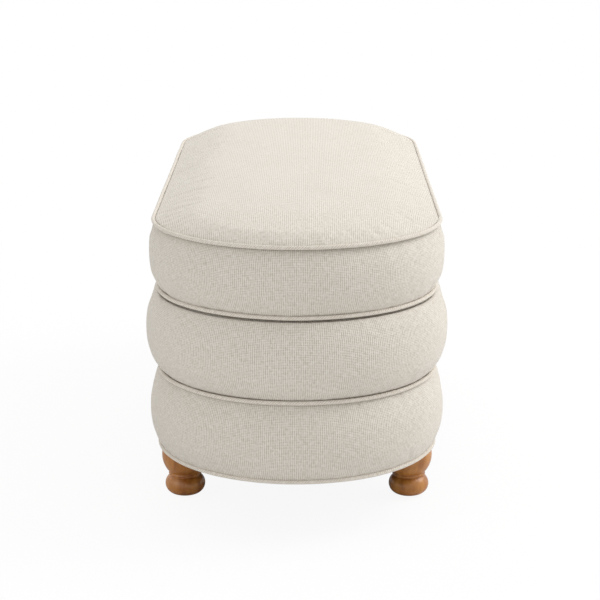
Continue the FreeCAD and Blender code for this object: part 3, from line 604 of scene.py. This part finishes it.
bumper_rubber, shader, place = finish("bumper_rubber", Specular_IOR_Level=0.5)
cloud = grain(stretched(place, 4, 4, 4), 3.0)
feed(shader, Base_Color=blended(cloud, RUBBER_DARK, RUBBER_PALE), Roughness=0.38 + 0.2 * cloud,
     Normal=relief(cloud, 0.05))
dress(bumper_rubber, "lid_bumpers")


# A continuous hinge of bright steel along the back: two leaves with interleaved knuckles on one pin,
# screwed to the rim and to the lid board.
dress(bright_steel, "hinge_box_leaf", "hinge_lid_leaf", "hinge_pin", "hinge_box_screws", "hinge_lid_screws")


# Two folding stays of black-coated flat steel hold the lid open. Each has a bracket on the box, a bracket on
# the lid and two arms that fold at a knee, on bright rivets.
COAT_BLACK = (0.012, 0.012, 0.013, 1)
COAT_RUBBED = (0.09, 0.088, 0.085, 1)

black_steel, shader, place = finish("black_steel", Specular_IOR_Level=0.5)
orange_peel = grain(stretched(place, 1.1, 1.1, 1.1), 2.0)
rubbed = grain(stretched(place, 26, 26, 26), 4.0, 0.6)
bare = between(rubbed, 0.66, 0.76) * 0.5
feed(shader, Base_Color=blended(bare, COAT_BLACK, COAT_RUBBED), Metallic=bare, Roughness=0.34 + 0.22 * rubbed,
     Normal=relief(orange_peel, 0.05))
for hand in ("left", "right"):
    dress(black_steel, "stay_box_bracket_" + hand, "stay_lid_bracket_" + hand, "stay_lower_arm_" + hand,
          "stay_upper_arm_" + hand)
    dress(bright_steel, "stay_knee_rivet_" + hand)
dress(bright_steel, "stay_box_rivets", "stay_box_screws", "stay_lid_rivets", "stay_lid_screws")


# The studio: a white floor that runs out to a white surround, a large soft lamp high on the right,
# two weaker ones on the left and above the far end, and a long lens at the near end of the bench.
WHITE = (1, 1, 1, 1)
FLOOR_WHITE = (0.85, 0.85, 0.85, 1)
FLOOR_SIZE = 12
CAMERA_SPOT = (3.0244, 0.016, 0.9863)
CAMERA_PITCH = math.radians(14.14)
CAMERA_YAW = math.radians(-0.24)

floor_paint = bpy.data.materials.new("studio_floor")
floor_paint.use_nodes = True
tree = floor_paint.node_tree
seen = Wire(tree.nodes.new("ShaderNodeLightPath").outputs["Is Camera Ray"])
ground = Wire(tree.nodes.new("ShaderNodeTexCoord").outputs["Object"])
away = ground.node("VectorMath", {"operation": "LENGTH"}, {0: ground}, out=1)
white_share = 0.92 + 0.08 * between(away, 0.5, 1.6)
painted = seen.node("BsdfDiffuse", {}, {"Color": FLOOR_WHITE})
glow = seen.node("Emission", {}, {"Color": WHITE, "Strength": 1.0})
shown = seen.node("MixShader", {}, {0: seen * white_share, 1: painted, 2: glow})
tree.links.new(shown.socket, tree.nodes["Material Output"].inputs["Surface"])
bm = bmesh.new()
bmesh.ops.create_grid(bm, x_segments=1, y_segments=1, size=FLOOR_SIZE)
floor_mesh = bpy.data.meshes.new("studio_floor")
bm.to_mesh(floor_mesh)
bm.free()
floor_mesh.materials.append(floor_paint)
floor = bpy.data.objects.new("studio_floor", floor_mesh)
bpy.context.scene.collection.objects.link(floor)
floor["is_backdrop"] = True

scene = bpy.context.scene
scene.view_settings.view_transform = "Standard"
surround = bpy.data.worlds.new("studio_surround")
surround.use_nodes = True
scene.world = surround
tree = surround.node_tree
rays = tree.nodes.new("ShaderNodeLightPath")
seen = Wire(rays.outputs["Is Camera Ray"])
mirrored = Wire(rays.outputs["Is Glossy Ray"])
through = Wire(rays.outputs["Is Transmission Ray"])
shown = seen.sum("MAXIMUM", mirrored.sum("MAXIMUM", through))
feed(tree.nodes["Background"], Strength=0.74 + 0.26 * shown)
tree.nodes["Background"].inputs["Color"].default_value = WHITE


def lamp(name, spot, aim, size, power):
    light = bpy.data.lights.new(name, "AREA")
    light.size = size
    light.energy = power
    stand = bpy.data.objects.new(name, light)
    stand.location = spot
    stand.rotation_euler = (Vector(aim) - Vector(spot)).to_track_quat("-Z", "Y").to_euler()
    scene.collection.objects.link(stand)


lamp("lamp_right", (-0.2, 2.6, 2.6), (0.1, 0, 0.3), 2.2, 74)
lamp("lamp_left", (2.0, -2.6, 1.4), (0.2, 0, 0.2), 1.6, 12)
lamp("lamp_above", (-2.2, -0.4, 2.8), (0, 0, 0.4), 2.0, 20)

lens = bpy.data.cameras.new("camera")
lens.lens = 111.1
lens.sensor_width = 36
camera = bpy.data.objects.new("camera", lens)
camera.location = CAMERA_SPOT
level = math.cos(CAMERA_PITCH)
aim = Vector((-math.cos(CAMERA_YAW) * level, math.sin(CAMERA_YAW) * level, -math.sin(CAMERA_PITCH)))
camera.rotation_euler = aim.to_track_quat("-Z", "Y").to_euler()
scene.collection.objects.link(camera)
scene.camera = camera

low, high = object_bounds()
